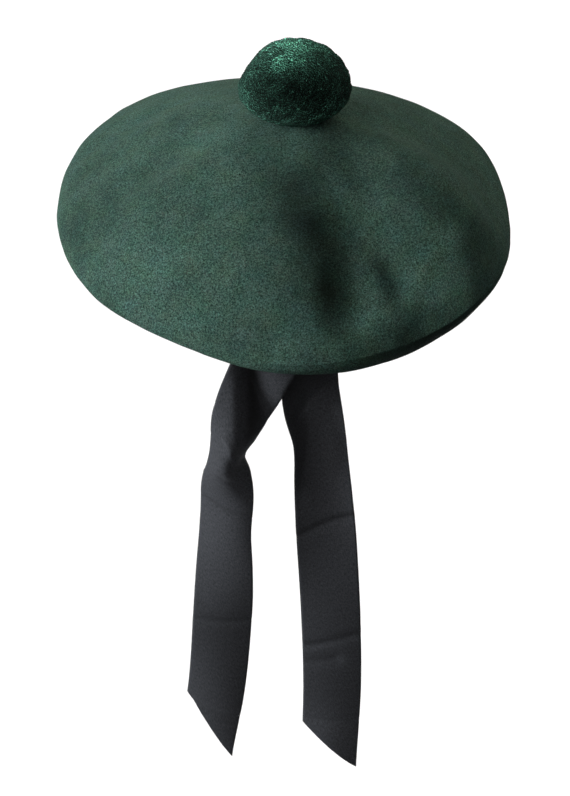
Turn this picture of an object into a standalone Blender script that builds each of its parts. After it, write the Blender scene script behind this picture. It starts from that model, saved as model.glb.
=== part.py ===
"""Balmoral bonnet: a wide felt crown with a pompom, a headband, and a ribbon band with two hanging tails.

The wearer faces +Y. The ribbon tails hang at the back, on the -Y side.
The origin is at the middle of the headband's lower edge.
"""

import math

import bmesh
import bpy
from mathutils import Vector

MM = 0.001

# Driving sizes
crown_width = 290 * MM
crown_rise = 58 * MM
crown_felt = 2.0 * MM
band_felt = 2.0 * MM
band_margin = 1.25 * MM
opening_width = 162 * MM
opening_length = 200 * MM
ribbon_width = 39.5 * MM
ribbon_thick = 1.0 * MM
left_length = 334 * MM
right_length = 354 * MM
seat_gap = 0.3 * MM
hem_drop = 8 * MM
pompom_width = 73 * MM
pompom_height = 51 * MM
pompom_belly = 21 * MM
pompom_sink = 1 * MM
seat_x = 5 * MM
seat_radius = 9 * MM

# Sizes that follow from them
band_height = ribbon_width + 2 * band_margin
crown_height = band_height + crown_rise
crown_reach = crown_width / 2
band_outside = band_felt + seat_gap + ribbon_thick
tail_top = 0.48 * band_height
left_cut = 1.16 * ribbon_width
right_cut = 1.11 * ribbon_width
lock_width = 0.18 * pompom_width
lock_stand = 0.031 * pompom_width
underside_sag = 0.03 * crown_height

# The rolled edge stands out furthest this far down its depth
ROLL_MIDDLE = 0.45

# Steps along each form
SPOKES = 60
TOP_RINGS = 15
TOP_CROWDING = 1.5
UNDER_RINGS = 2
TAIL_STEPS = 26
TAIL_STRIPS = 5
LOCKS = 102
LOCK_SIDES = 5

# The rim, by its bearing in degrees round the crown from +X.
# reach: share of the crown's reach. height: of the crease, as a share of the crown's height.
# fullness: how much the section bulges. roll: depth of the rolled edge, as a share of that height.
# tuck: how far the roll turns inwards, as a share of its depth.
RIM_COLUMNS = ("bearing", "reach", "height", "fullness", "roll", "tuck")
RIM_ROWS = (
    (0, 1.000, 0.17, 0.55, 0.07, 0.35),
    (30, 1.026, 0.35, 0.40, 0.04, 0.25),
    (60, 1.000, 0.430, 0.30, 0.04, 0.25),
    (90, 0.960, 0.50, 0.20, 0.04, 0.25),
    (120, 1.000, 0.525, 0.24, 0.04, 0.25),
    (150, 1.015, 0.48, 0.32, 0.04, 0.25),
    (180, 1.018, 0.35, 0.36, 0.04, 0.25),
    (210, 1.020, 0.20, 0.52, 0.04, 0.25),
    (240, 0.985, 0.095, 0.58, 0.04, 0.25),
    (270, 0.990, 0.02, 0.58, 0.085, 0.35),
    (300, 0.995, 0.05, 0.70, 0.14, 0.50),
    (330, 1.006, 0.12, 0.95, 0.13, 0.50),
)

# Dents and ridges of the crown, each along a straight line seen from above.
# Places and half widths are shares of the crown's reach, and depths of its height.
# low_side is the half width towards -X and high_side towards +X. A ridge has a negative depth.
# sharpness: 2 is a rounded dent, and nearer to 1 a creased one.
FOLD_COLUMNS = (
    "name", "start_x", "start_y", "end_x", "end_y", "low_side", "high_side", "depth", "sharpness",
)
FOLD_ROWS = (
    ("valley, upper end", 0.165, -0.380, 0.240, -0.560, 0.120, 0.140, 0.048, 1.4),
    ("valley, deep end", 0.262, -0.670, 0.268, -0.800, 0.085, 0.250, 0.085, 1.4),
    ("faint start of the valley", -0.030, -0.330, 0.060, -0.440, 0.070, 0.070, 0.010, 2.0),
    ("branch beside the valley", 0.250, -0.170, 0.350, -0.420, 0.110, 0.110, 0.024, 2.0),
    ("slanting dimple", 0.395, -0.680, 0.475, -0.775, 0.055, 0.060, 0.026, 2.0),
    ("broad ridge", 0.730, -0.330, 0.880, -0.500, 0.260, 0.110, -0.085, 2.0),
    ("foot of the broad ridge", 0.740, -0.640, 0.800, -0.590, 0.240, 0.130, -0.100, 2.0),
    ("narrow ridge", 0.420, -0.160, 0.480, -0.330, 0.070, 0.060, -0.012, 2.0),
    ("trough at the upper left", -0.880, 0.235, -0.620, 0.300, 0.070, 0.070, 0.022, 2.0),
    ("band on the left", -0.740, -0.300, -0.460, -0.090, 0.080, 0.120, 0.026, 2.0),
    ("dimple by the left rim", -0.880, -0.380, -0.820, -0.430, 0.070, 0.070, 0.030, 2.0),
    ("dimple by the near rim", 0.260, -0.900, 0.310, -0.910, 0.050, 0.050, 0.012, 2.0),
)
# Folds fade out over the last tenth before the rim and the first sixth from the seat
FOLD_FADE_AT_RIM = 10
FOLD_FADE_AT_SEAT = 6

# The tails, by the distance down from the stitched top.
# down and middle: shares of the tail's length, middle being the place across the back.
# out: away from the back, and arch: how far the middle bows out, as shares of the ribbon's width.
# turn: of the ribbon about its length, in degrees.
TAIL_COLUMNS = ("down", "middle", "out", "arch", "turn")
LEFT_TAIL_ROWS = (
    (0.000, 0.012, 0.000, 0.000, 0),
    (0.075, -0.012, 0.060, 0.025, 0),
    (0.150, -0.052, 0.090, 0.030, -4),
    (0.225, -0.082, 0.145, 0.120, -2),
    (0.280, -0.102, 0.145, 0.315, 4),
    (0.323, -0.114, 0.130, 0.400, 6),
    (0.365, -0.114, 0.100, 0.300, -6),
    (0.425, -0.115, 0.065, 0.170, -22),
    (0.500, -0.119, 0.050, 0.150, -26),
    (0.600, -0.122, 0.040, 0.090, -16),
    (0.735, -0.129, 0.025, 0.060, 0),
    (0.900, -0.142, 0.025, 0.105, -6),
    (1.080, -0.167, 0.035, 0.110, -20),
)
RIGHT_TAIL_ROWS = (
    (0.000, 0.017, 0.000, 0.000, 0),
    (0.060, 0.0235, 0.010, 0.000, 0),
    (0.105, 0.032, -0.060, -0.020, 12),
    (0.150, 0.040, -0.150, -0.040, 24),
    (0.210, 0.045, -0.130, -0.100, 20),
    (0.295, 0.0600, -0.050, -0.230, 8),
    (0.395, 0.0665, 0.010, -0.160, 5),
    (0.535, 0.0755, 0.045, -0.030, 3),
    (0.680, 0.083, 0.050, 0.030, 2),
    (0.850, 0.087, 0.055, 0.050, 4),
    (1.070, 0.082, 0.055, 0.120, 8),
)
# A tail's slope is taken over one of this many steps of its length
SLOPE_STEPS = 330

# Folds of the tails, with the columns of the crown's folds. Everything is a share of the
# ribbon's width: x from the ribbon's middle, y down from the stitched top.
LEFT_FOLDS = (
    ("deep fold at the top", -0.12, 1.36, 0.44, 1.96, 0.34, 0.26, 0.280, 1.3),
    ("ridge at the left of it", -0.32, 1.45, 0.04, 2.35, 0.22, 0.09, -0.080, 1.6),
)
RIGHT_FOLDS = (
    ("trough down the left edge", -0.10, 1.75, -0.45, 3.80, 0.26, 0.12, 0.050, 1.6),
)

# Each lock of the pompom from its root to its tip: width share, and height in lock stands
LOCK_RINGS = ((1.00, -1.20), (0.62, 0.55), (0.22, 1.00))
LOWEST_LOCK = -0.85
# Where the toorie is trimmed flatter: an aim from its middle, the share that goes and how
# closely it keeps to the aim
FLAT_AIM = (-0.84, 0.30, 0.45)
FLAT_SHARE = 0.08
FLAT_SHARPNESS = 12


def clear_scene():
    for obj in list(bpy.data.objects):
        bpy.data.objects.remove(obj, do_unlink=True)


def new_collection(name):
    collection = bpy.data.collections.new(name)
    bpy.context.scene.collection.children.link(collection)
    return collection


def material(name, colour, roughness, sheen):
    made = bpy.data.materials.new(name)
    made.use_nodes = True
    shader = made.node_tree.nodes["Principled BSDF"]
    shader.inputs["Base Color"].default_value = (*[linear(value) for value in colour], 1)
    shader.inputs["Roughness"].default_value = roughness
    shader.inputs["Metallic"].default_value = 0
    shader.inputs["Sheen Weight"].default_value = sheen
    made.diffuse_color = shader.inputs["Base Color"].default_value
    return made


def linear(value):
    """An sRGB value of 0 to 255 as a linear one."""
    share = value / 255
    return share / 12.92 if share <= 0.04045 else ((share + 0.055) / 1.055) ** 2.4


def smooth(before, start, end, after, share):
    """The value between start and end on a smooth curve through all four."""
    return 0.5 * (
        2 * start
        + (end - before) * share
        + (2 * before - 5 * start + 4 * end - after) * share**2
        + (3 * start - before - 3 * end + after) * share**3
    )


def around(column, bearing):
    """A rim value at this bearing in degrees, smooth all the way round."""
    place = RIM_COLUMNS.index(column)
    count = len(RIM_ROWS)
    step = 360 / count
    first = int(bearing // step) % count
    share = (bearing % 360 - first * step) / step
    values = [RIM_ROWS[(first + shift) % count][place] for shift in (-1, 0, 1, 2)]
    return smooth(*values, share)


def along(rows, column, down):
    """A tail value at this share of its length."""
    place = TAIL_COLUMNS.index(column)
    last = len(rows) - 1
    first = max(index for index in range(last) if rows[index][0] <= max(down, 0))
    share = (down - rows[first][0]) / (rows[first + 1][0] - rows[first][0])
    ends = [min(max(first + shift, 0), last) for shift in (-1, 0, 1, 2)]
    return smooth(*[rows[index][place] for index in ends], share)


def oval(half_width, half_length, bearing):
    """The distance from the middle to an oval at this bearing."""
    angle = math.radians(bearing)
    return 1 / math.hypot(math.cos(angle) / half_width, math.sin(angle) / half_length)


def band_reach(outwards, bearing):
    """The distance from the middle to a line this far outside the headband's inner face."""
    return oval(opening_width / 2 + outwards, opening_length / 2 + outwards, bearing)


def off_line(place, start, end):
    """The way to a place from a straight line with two ends."""
    run = end - start
    share = min(max((place - start).dot(run) / run.length_squared, 0), 1)
    return place - start - share * run


def eased(share):
    """A share of 0 to 1 that starts and stops gently."""
    share = min(max(share, 0), 1)
    return share * share * (3 - 2 * share)


def folded(rows, place):
    """How deep these folds are at a place, as a share."""
    total = 0
    for row in rows:
        fold = dict(zip(FOLD_COLUMNS, row))
        start = Vector((fold["start_x"], fold["start_y"]))
        end = Vector((fold["end_x"], fold["end_y"]))
        off = off_line(place, start, end)
        highness = (1 + off.x / off.length) / 2 if off.length else 0
        half_width = fold["low_side"] + (fold["high_side"] - fold["low_side"]) * highness
        total += fold["depth"] * math.exp(-((off.length / half_width) ** fold["sharpness"]))
    return total


def crown_point(share, bearing):
    """A point of the crown's top, from the pompom's seat at 0 to the rim's crease at 1."""
    angle = math.radians(bearing)
    reach = around("reach", bearing) * crown_reach
    edge = around("height", bearing) * crown_height
    power = 1 + around("fullness", bearing)
    inner = seat_radius / reach
    spread = inner + (1 - inner) * share
    x = seat_x + (reach * math.cos(angle) - seat_x) * spread
    y = reach * math.sin(angle) * spread
    drop = 1 - (1 - share**power) ** (1 / power)
    fade = eased(FOLD_FADE_AT_RIM * (1 - share)) * eased(FOLD_FADE_AT_SEAT * share)
    depth = folded(FOLD_ROWS, Vector((x, y)) / crown_reach) * crown_height
    z = crown_height - (crown_height - edge) * drop - depth * fade
    return Vector((x, y, z))


def crown_section(bearing):
    """The outer face at this bearing, from the seat over the rim to the hem inside the headband."""
    angle = math.radians(bearing)
    outwards = Vector((math.cos(angle), math.sin(angle), 0))
    up = Vector((0, 0, 1))
    points = []
    for ring in range(TOP_RINGS + 1):
        share = 1 - (1 - ring / TOP_RINGS) ** TOP_CROWDING
        points.append(crown_point(share, bearing))
    roll = around("roll", bearing) * crown_height
    tuck = around("tuck", bearing)
    crease = points[-1]
    points.append(crease + (ROLL_MIDDLE - tuck) * roll * outwards - ROLL_MIDDLE * roll * up)
    under_rim = crease - tuck * roll * outwards - roll * up
    points.append(under_rim)
    seat = (band_height + seat_gap) * up
    over_band = band_reach(band_outside + seat_gap, bearing) * outwards + seat
    for step in range(1, UNDER_RINGS + 1):
        share = step / UNDER_RINGS
        sag = underside_sag * math.sin(math.pi * share) * up
        points.append(under_rim.lerp(over_band, share) - sag)
    inside = band_reach(-seat_gap, bearing) * outwards
    points.append(inside + seat)
    points.append(inside + (band_height - hem_drop) * up)
    return points


def add_object(name, mesh, collection, look):
    obj = bpy.data.objects.new(name, mesh)
    collection.objects.link(obj)
    mesh.materials.append(look)
    return obj


def finish_mesh(build, name):
    """Writes the bmesh into a mesh with its faces turned outwards."""
    bmesh.ops.recalc_face_normals(build, faces=build.faces)
    mesh = bpy.data.meshes.new(name)
    build.to_mesh(mesh)
    build.free()
    return mesh


def thicken(obj, thickness, offset):
    wall = obj.modifiers.new("wall", "SOLIDIFY")
    wall.thickness = thickness
    wall.offset = offset
    wall.use_even_offset = True


def shade(obj, angle):
    obj.data.shade_smooth()
    obj.data.set_sharp_from_angle(angle=math.radians(angle))


def make_crown(collection, look):
    """Lofts the sections round the crown, closes the top and gives the felt its wall."""
    build = bmesh.new()
    sections = []
    for spoke in range(SPOKES):
        points = crown_section(360 * spoke / SPOKES)
        sections.append([build.verts.new(point) for point in points])
    for spoke, section in enumerate(sections):
        following = sections[(spoke + 1) % SPOKES]
        for ring in range(len(section) - 1):
            corners = (section[ring], section[ring + 1], following[ring + 1], following[ring])
            build.faces.new(corners)
    build.faces.new([section[0] for section in sections])
    crown = add_object("crown", finish_mesh(build, "crown"), collection, look)
    if crown.data.polygons[0].normal.z < 0:
        crown.data.flip_normals()
    thicken(crown, crown_felt, -1)
    shade(crown, 50)
    return crown


def make_band(name, collection, look, inner, thickness, low, high):
    """An upright oval band whose inner face is this far outside the headband's inner face."""
    build = bmesh.new()
    ring = bmesh.ops.create_circle(build, cap_ends=False, segments=SPOKES, radius=1)["verts"]
    for vert in ring:
        bearing = math.degrees(math.atan2(vert.co.y, vert.co.x)) % 360
        vert.co *= band_reach(inner, bearing)
        vert.co.z = low
    raised = bmesh.ops.extrude_edge_only(build, edges=build.edges[:])["geom"]
    tops = [item for item in raised if isinstance(item, bmesh.types.BMVert)]
    bmesh.ops.translate(build, verts=tops, vec=(0, 0, high - low))
    band = add_object(name, finish_mesh(build, name), collection, look)
    first = band.data.polygons[0]
    if first.normal.dot(first.center * Vector((1, 1, 0))) < 0:
        band.data.flip_normals()
    thicken(band, thickness, 1)
    shade(band, 50)
    return band


def tail_point(rows, folds, length, layer, across, down):
    """A point of a tail: across runs from -1 to 1, down is the share of its length from its top."""
    middle, out, arch, turn = (along(rows, name, down) for name in TAIL_COLUMNS[1:])
    before = max(down - 1 / SLOPE_STEPS, 0)
    after = down + 1 / SLOPE_STEPS
    slope = (along(rows, "middle", after) - along(rows, "middle", before)) / (after - before)
    lean = math.atan(slope)
    # A shallow bow of this height shortens the width between the ribbon's edges
    chord = ribbon_width * (1 - 8 / 3 * arch**2)
    aside = across * chord / 2
    turned = math.radians(turn)
    bow = arch * ribbon_width * (1 - across**2)
    bow -= folded(folds, Vector((across / 2, down * length / ribbon_width))) * ribbon_width
    on_band = opening_length / 2 + band_outside + seat_gap + ribbon_thick / 2
    lapped = layer * (ribbon_thick + seat_gap)
    x = middle * length + aside * math.cos(turned) * math.cos(lean)
    y = aside * math.sin(turned) - on_band - lapped - out * ribbon_width - bow
    z = tail_top - down * length + aside * math.cos(turned) * math.sin(lean)
    return Vector((x, y, z))


def make_tail(name, collection, look, rows, folds, length, cut, layer):
    """Sweeps the ribbon down its table. The slanted cut is longer on its right."""
    build = bmesh.new()
    grid = []
    for step in range(TAIL_STEPS + 1):
        line = []
        for strip in range(TAIL_STRIPS + 1):
            across = 2 * strip / TAIL_STRIPS - 1
            down = step / TAIL_STEPS * (1 + across * cut / 2 / length)
            place = tail_point(rows, folds, length, layer, across, down)
            line.append(build.verts.new(place))
        grid.append(line)
    for upper, lower in zip(grid, grid[1:]):
        for strip in range(TAIL_STRIPS):
            corners = (upper[strip], lower[strip], lower[strip + 1], upper[strip + 1])
            build.faces.new(corners)
    tail = add_object(name, finish_mesh(build, name), collection, look)
    thicken(tail, ribbon_thick, 0)
    shade(tail, 40)
    return tail


def domed(aim, reach, above, below):
    """A direction set out on a ball that is taller above its widest level than below it."""
    return Vector((aim.x * reach, aim.y * reach, aim.z * (above if aim.z > 0 else below)))


def trimmed(aim):
    """The share of the ball's reach that is left in this direction."""
    return 1 - FLAT_SHARE * max(0, aim.dot(Vector(FLAT_AIM))) ** FLAT_SHARPNESS


def add_lock(build, root, outwards):
    """One rounded lock of yarn that stands out of the core here."""
    turn = outwards.to_track_quat("Z", "Y")
    rings = []
    for width_share, height in LOCK_RINGS:
        ring = []
        for side in range(LOCK_SIDES):
            angle = 2 * math.pi * side / LOCK_SIDES
            reach = lock_width / 2 * width_share
            place = Vector((reach * math.cos(angle), reach * math.sin(angle), height * lock_stand))
            ring.append(build.verts.new(root + turn @ place))
        rings.append(ring)
    build.faces.new(rings[0])
    build.faces.new(rings[-1])
    for lower, upper in zip(rings, rings[1:]):
        for side in range(LOCK_SIDES):
            after = (side + 1) % LOCK_SIDES
            build.faces.new((lower[side], lower[after], upper[after], upper[side]))


def add_boolean(obj, name, operation, other):
    step = obj.modifiers.new(name, "BOOLEAN")
    step.operation = operation
    step.solver = "EXACT"
    step.use_self = operation == "UNION"
    step.object = other
    other.hide_render = True
    other.display_type = "WIRE"


def make_pompom(collection, helpers, look):
    """A core with locks standing out all over, fused and cut flat where it sits."""
    reach = pompom_width / 2 - lock_stand
    above = pompom_height - pompom_belly - lock_stand
    below = pompom_belly - lock_stand
    centre = Vector((seat_x, 0, crown_height + below - pompom_sink))
    build = bmesh.new()
    bmesh.ops.create_uvsphere(build, u_segments=20, v_segments=12, radius=1)
    for vert in build.verts:
        vert.co = domed(vert.co, reach, above, below) * trimmed(vert.co)
    core = add_object("toorie", finish_mesh(build, "toorie"), collection, look)
    core.location = centre
    build = bmesh.new()
    for index in range(LOCKS):
        rise = 1 - 2 * (index + 0.5) / LOCKS
        if rise < LOWEST_LOCK:
            continue
        angle = index * math.pi * (3 - math.sqrt(5))
        level = math.sqrt(1 - rise**2)
        aim = Vector((level * math.cos(angle), level * math.sin(angle), rise))
        outwards = domed(aim, 1 / reach, 1 / above, 1 / below).normalized()
        add_lock(build, domed(aim, reach, above, below) * trimmed(aim), outwards)
    tufts = add_object("toorie_locks", finish_mesh(build, "toorie_locks"), helpers, look)
    tufts.location = centre
    add_boolean(core, "locks", "UNION", tufts)
    build = bmesh.new()
    bmesh.ops.create_cube(build, size=2 * pompom_width)
    block = add_object("toorie_seat", finish_mesh(build, "toorie_seat"), helpers, look)
    block.location = (seat_x, 0, crown_height + seat_gap - pompom_width)
    add_boolean(core, "seat", "DIFFERENCE", block)
    shade(core, 60)
    return core


def main():
    clear_scene()
    bonnet = new_collection("balmoral_bonnet")
    helpers = new_collection("helpers")
    helpers.hide_render = True
    green_felt = material("green wool felt", (58, 80, 72), 0.95, 0.3)
    band_look = material("green wool felt band", (50, 70, 62), 0.95, 0.2)
    black_ribbon = material("black woven ribbon", (44, 45, 49), 0.55, 0.1)
    green_yarn = material("green wool yarn", (42, 78, 66), 0.95, 0.3)
    crown = make_crown(bonnet, green_felt)
    headband = make_band("headband", bonnet, band_look, 0, band_felt, 0, band_height)
    on_band = band_felt + seat_gap
    top = band_margin + ribbon_width
    ribbon = make_band("ribbon_band", bonnet, black_ribbon, on_band, ribbon_thick, band_margin, top)
    left = make_tail(
        "ribbon_tail_left", bonnet, black_ribbon, LEFT_TAIL_ROWS, LEFT_FOLDS, left_length, left_cut, 1
    )
    right = make_tail(
        "ribbon_tail_right", bonnet, black_ribbon, RIGHT_TAIL_ROWS, RIGHT_FOLDS, right_length,
        right_cut, 0
    )
    toorie = make_pompom(bonnet, helpers, green_yarn)
    for child in (headband, toorie):
        child.parent = crown
    ribbon.parent = headband
    for child in (left, right):
        child.parent = ribbon


main()
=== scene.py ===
"""Balmoral bonnet: green wool felt crown, cut-pile toorie, headband, and a black ribbon with two tails.

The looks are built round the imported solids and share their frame: metres, +Z up.
The wearer faces +Y, and the tails hang at the back, on the -Y side.
"""

import functools
import math

import bmesh
import bpy
import numpy as np
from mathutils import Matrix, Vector, noise


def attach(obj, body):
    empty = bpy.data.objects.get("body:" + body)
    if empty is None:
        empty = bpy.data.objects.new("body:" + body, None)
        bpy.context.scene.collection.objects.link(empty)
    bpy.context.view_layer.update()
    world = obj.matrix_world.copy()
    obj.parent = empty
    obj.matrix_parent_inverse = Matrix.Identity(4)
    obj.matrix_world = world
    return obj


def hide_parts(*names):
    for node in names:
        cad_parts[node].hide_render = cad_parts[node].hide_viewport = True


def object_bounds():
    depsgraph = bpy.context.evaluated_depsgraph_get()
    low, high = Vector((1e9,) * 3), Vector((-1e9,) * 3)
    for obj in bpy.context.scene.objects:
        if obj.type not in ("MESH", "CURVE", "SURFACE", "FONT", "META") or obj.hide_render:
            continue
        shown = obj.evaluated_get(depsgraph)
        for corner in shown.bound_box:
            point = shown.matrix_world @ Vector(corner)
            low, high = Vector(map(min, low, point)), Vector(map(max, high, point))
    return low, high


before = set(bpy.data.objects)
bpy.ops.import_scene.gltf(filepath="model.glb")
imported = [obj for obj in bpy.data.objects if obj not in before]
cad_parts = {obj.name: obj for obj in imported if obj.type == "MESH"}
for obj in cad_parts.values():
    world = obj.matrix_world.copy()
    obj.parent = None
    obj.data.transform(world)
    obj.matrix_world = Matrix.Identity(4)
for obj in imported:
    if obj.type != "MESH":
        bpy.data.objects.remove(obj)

bl_info = {
    "name": "Balmoral Bonnet",
    "version": (1, 0, 0),
    "blender": (4, 5, 0),
    "location": "3D View > Sidebar > Bonnet",
    "description": "Dresses the packed solids of a balmoral bonnet in felt, yarn and ribbon",
    "category": "Object",
}

MM = 0.001
UP = Vector((0, 0, 1))
CAD_BOX = [list(corner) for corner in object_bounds()]

# Sizes of the solids, which the looks keep
crown_width = 290 * MM
crown_rise = 58 * MM
crown_felt = 2.0 * MM
band_felt = 2.0 * MM
band_margin = 1.25 * MM
opening_width = 162 * MM
opening_length = 200 * MM
ribbon_width = 39.5 * MM
ribbon_thick = 1.0 * MM
left_length = 334 * MM
right_length = 354 * MM
seat_gap = 0.3 * MM
hem_drop = 8 * MM
pompom_width = 73 * MM
pompom_height = 51 * MM
pompom_belly = 21 * MM
pompom_sink = 1 * MM
seat_x = 5 * MM
seat_radius = 9 * MM

band_height = ribbon_width + 2 * band_margin
crown_height = band_height + crown_rise
crown_reach = crown_width / 2
band_outside = band_felt + seat_gap + ribbon_thick
tail_top = 0.48 * band_height
left_cut = 1.16 * ribbon_width
right_cut = 1.11 * ribbon_width
lock_stand = 0.031 * pompom_width
underside_sag = 0.03 * crown_height

# The rolled edge stands out furthest this far down its depth
ROLL_MIDDLE = 0.45

# The blocked felt has lumps this wide, and smaller ones on them that are this share as high
LUMP_WAVE = 34 * MM
SMALL_LUMP_WAVE = 13 * MM
SMALL_LUMPS = 0.5
# Under the rim the felt stays even out to this share of the crown's reach, to fit the headband
EVEN_REACH = 0.75

# Steps along each form
SPOKES = 240
TOP_RINGS = 64
TOP_CROWDING = 1.5
ROLL_RINGS = 10
UNDER_RINGS = 22
LAP_RINGS = 4
BAND_SPOKES = 192
BAND_ROWS = 8
TAIL_STEPS = 230
TAIL_STRIPS = 24

# Where the toorie is trimmed flatter: an aim from its middle, the share that goes and how
# closely it keeps to the aim
FLAT_AIM = (-0.84, 0.30, 0.45)
FLAT_SHARE = 0.08
FLAT_SHARPNESS = 12
# Width of a strand at its root, as a share of its width at the cut
ROOT_SHARE = 0.6
# Widths of a strand, as shares of the yarn's
STRAND_WIDTHS = (0.8, 1.2)
# The locks that strands gather in, how much a strand leans away from its lock's middle, and
# how much shorter it is at the lock's edge, as a share of how far a lock stands out
LOCKS = 102
LOCK_LEAN = 0.35
LOCK_TRIM = 0.3
# How far chance turns a strand's place and its lean, and how much it shortens the strand
PLACE_SCATTER = 0.008
LEAN_SCATTER = 0.07
TRIM_SCATTER = 0.8 * MM
# A way that is exactly no strand's own, from which each strand gets its first side
ASLANT = (0.31, 0.52, 0.79)
# The core's depth under the cut ends, as a share of the pile. The core is painted dark as the
# shade deep in the pile.
CORE_DEPTH = 0.55
# Painted light and shade on the toorie's pile, by the rise of the strand's aim: the colour's
# multiple at each rise, with a painted highlight on top
PAINTED_LIGHT_BY_RISE = ((-0.5, -0.1, 0.3, 0.6, 0.95), (1.1, 0.7, 0.5, 0.55, 2.0))
# Shares of the yarn's colour that a strand and a whole lock may have
STRAND_SHADES = (0.6, 1.4)
LOCK_SHADES = (0.6, 1.4)
# Painted glints: the share of strands painted lighter as if they caught the light, and how many
# times lighter they are
LIGHT_FLECKS = 0.03
FLECK_SHADE = 3

# The rim, by its bearing in degrees round the crown from +X.
# reach: share of the crown's reach. height: of the crease, as a share of the crown's height.
# fullness: how much the section bulges. roll: depth of the rolled edge, as a share of that height.
# tuck: how far the roll turns inwards, as a share of its depth.
RIM_COLUMNS = ("bearing", "reach", "height", "fullness", "roll", "tuck")
RIM_ROWS = (
    (0, 1.000, 0.17, 0.55, 0.07, 0.35),
    (30, 1.026, 0.35, 0.40, 0.04, 0.25),
    (60, 1.000, 0.430, 0.30, 0.04, 0.25),
    (90, 0.960, 0.50, 0.20, 0.04, 0.25),
    (120, 1.000, 0.525, 0.24, 0.04, 0.25),
    (150, 1.015, 0.48, 0.32, 0.04, 0.25),
    (180, 1.018, 0.35, 0.36, 0.04, 0.25),
    (210, 1.020, 0.20, 0.52, 0.04, 0.25),
    (240, 0.985, 0.095, 0.58, 0.04, 0.25),
    (270, 0.990, 0.02, 0.58, 0.085, 0.35),
    (300, 0.995, 0.05, 0.70, 0.14, 0.50),
    (330, 1.006, 0.12, 0.95, 0.13, 0.50),
)

# Dents and ridges of the crown, each along a straight line seen from above.
# Places and half widths are shares of the crown's reach, and depths of its height.
# low_side is the half width towards -X and high_side towards +X. A ridge has a negative depth.
# sharpness: 2 is a rounded dent, and nearer to 1 a creased one.
FOLD_COLUMNS = (
    "name", "start_x", "start_y", "end_x", "end_y", "low_side", "high_side", "depth", "sharpness",
)
FOLD_ROWS = (
    ("valley, upper end", 0.165, -0.380, 0.240, -0.560, 0.120, 0.140, 0.048, 1.4),
    ("valley, deep end", 0.262, -0.670, 0.268, -0.800, 0.085, 0.250, 0.085, 1.4),
    ("faint start of the valley", -0.030, -0.330, 0.060, -0.440, 0.070, 0.070, 0.010, 2.0),
    ("branch beside the valley", 0.250, -0.170, 0.350, -0.420, 0.110, 0.110, 0.024, 2.0),
    ("slanting dimple", 0.395, -0.680, 0.475, -0.775, 0.055, 0.060, 0.026, 2.0),
    ("broad ridge", 0.730, -0.330, 0.880, -0.500, 0.260, 0.110, -0.085, 2.0),
    ("foot of the broad ridge", 0.740, -0.640, 0.800, -0.590, 0.240, 0.130, -0.100, 2.0),
    ("narrow ridge", 0.420, -0.160, 0.480, -0.330, 0.070, 0.060, -0.012, 2.0),
    ("trough at the upper left", -0.880, 0.235, -0.620, 0.300, 0.070, 0.070, 0.022, 2.0),
    ("band on the left", -0.740, -0.300, -0.460, -0.090, 0.080, 0.120, 0.026, 2.0),
    ("dimple by the left rim", -0.880, -0.380, -0.820, -0.430, 0.070, 0.070, 0.030, 2.0),
    ("dimple by the near rim", 0.260, -0.900, 0.310, -0.910, 0.050, 0.050, 0.012, 2.0),
)
# Folds fade out over the last tenth before the rim and the first sixth from the seat
FOLD_FADE_AT_RIM = 10
FOLD_FADE_AT_SEAT = 6

# The paler hairs that take less of the felt's dye
PALE_HAIR = "5C665F"

# Painted shade and painted light on the crown's felt, with the columns of the folds. depth is the
# share of the colour that painted shade takes off, and it is negative where painted light is added.
CROWN_PAINTED_LIGHT_AND_SHADE = (
    ("upper part of the valley", 0.030, -0.470, 0.080, -0.560, 0.110, 0.100, 0.56, 2.4),
    ("left wall of the valley", 0.154, -0.690, 0.172, -0.790, 0.110, 0.115, 0.67, 2.0),
    ("foot of the valley", 0.168, -0.845, 0.192, -0.900, 0.060, 0.060, 0.32, 2.0),
    ("slope left of the valley", -0.010, -0.600, 0.030, -0.750, 0.090, 0.080, 0.24, 2.0),
    ("slope under the toorie", 0.225, -0.180, 0.245, -0.350, 0.120, 0.110, 0.46, 1.8),
    ("right of that slope", 0.370, -0.190, 0.410, -0.260, 0.070, 0.070, 0.28, 2.0),
    ("slanting dimple", 0.400, -0.705, 0.440, -0.770, 0.045, 0.045, 0.75, 2.0),
    ("crest of the broad ridge", 0.520, -0.400, 0.630, -0.500, 0.110, 0.120, 0.45, 2.0),
    ("left side of the broad ridge", 0.450, -0.560, 0.520, -0.630, 0.070, 0.080, 0.22, 2.0),
    ("terrace beside the valley", 0.370, -0.860, 0.640, -0.690, 0.100, 0.100, -0.38, 1.8),
    ("outer end of the terrace", 0.625, -0.760, 0.730, -0.640, 0.075, 0.075, -1.40, 2.0),
    ("edge of the roll", 0.470, -0.878, 0.725, -0.690, 0.014, 0.030, 0.60, 2.4),
    ("near rim in the middle", -0.030, -0.985, 0.200, -0.965, 0.030, 0.030, -0.40, 2.0),
    ("start of the terrace", 0.270, -0.915, 0.330, -0.890, 0.045, 0.045, -0.30, 2.0),
    ("right shoulder", 0.800, -0.080, 0.880, -0.400, 0.180, 0.180, 0.12, 1.8),
    ("left shoulder", -0.850, 0.020, -0.710, -0.380, 0.160, 0.160, 0.14, 1.8),
    ("left rim", -0.960, -0.240, -0.900, -0.440, 0.090, 0.090, 0.25, 1.8),
    ("near rim on the left", -0.800, -0.480, -0.350, -0.820, 0.120, 0.120, -0.14, 1.8),
)
# Painted shade on the rolled edge: the share of the colour it takes off where the roll is
# deepest, and how soon that goes as the roll gets shallower
ROLL_PAINTED_SHADE = 0.8
ROLL_SHARPNESS = 4

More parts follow.
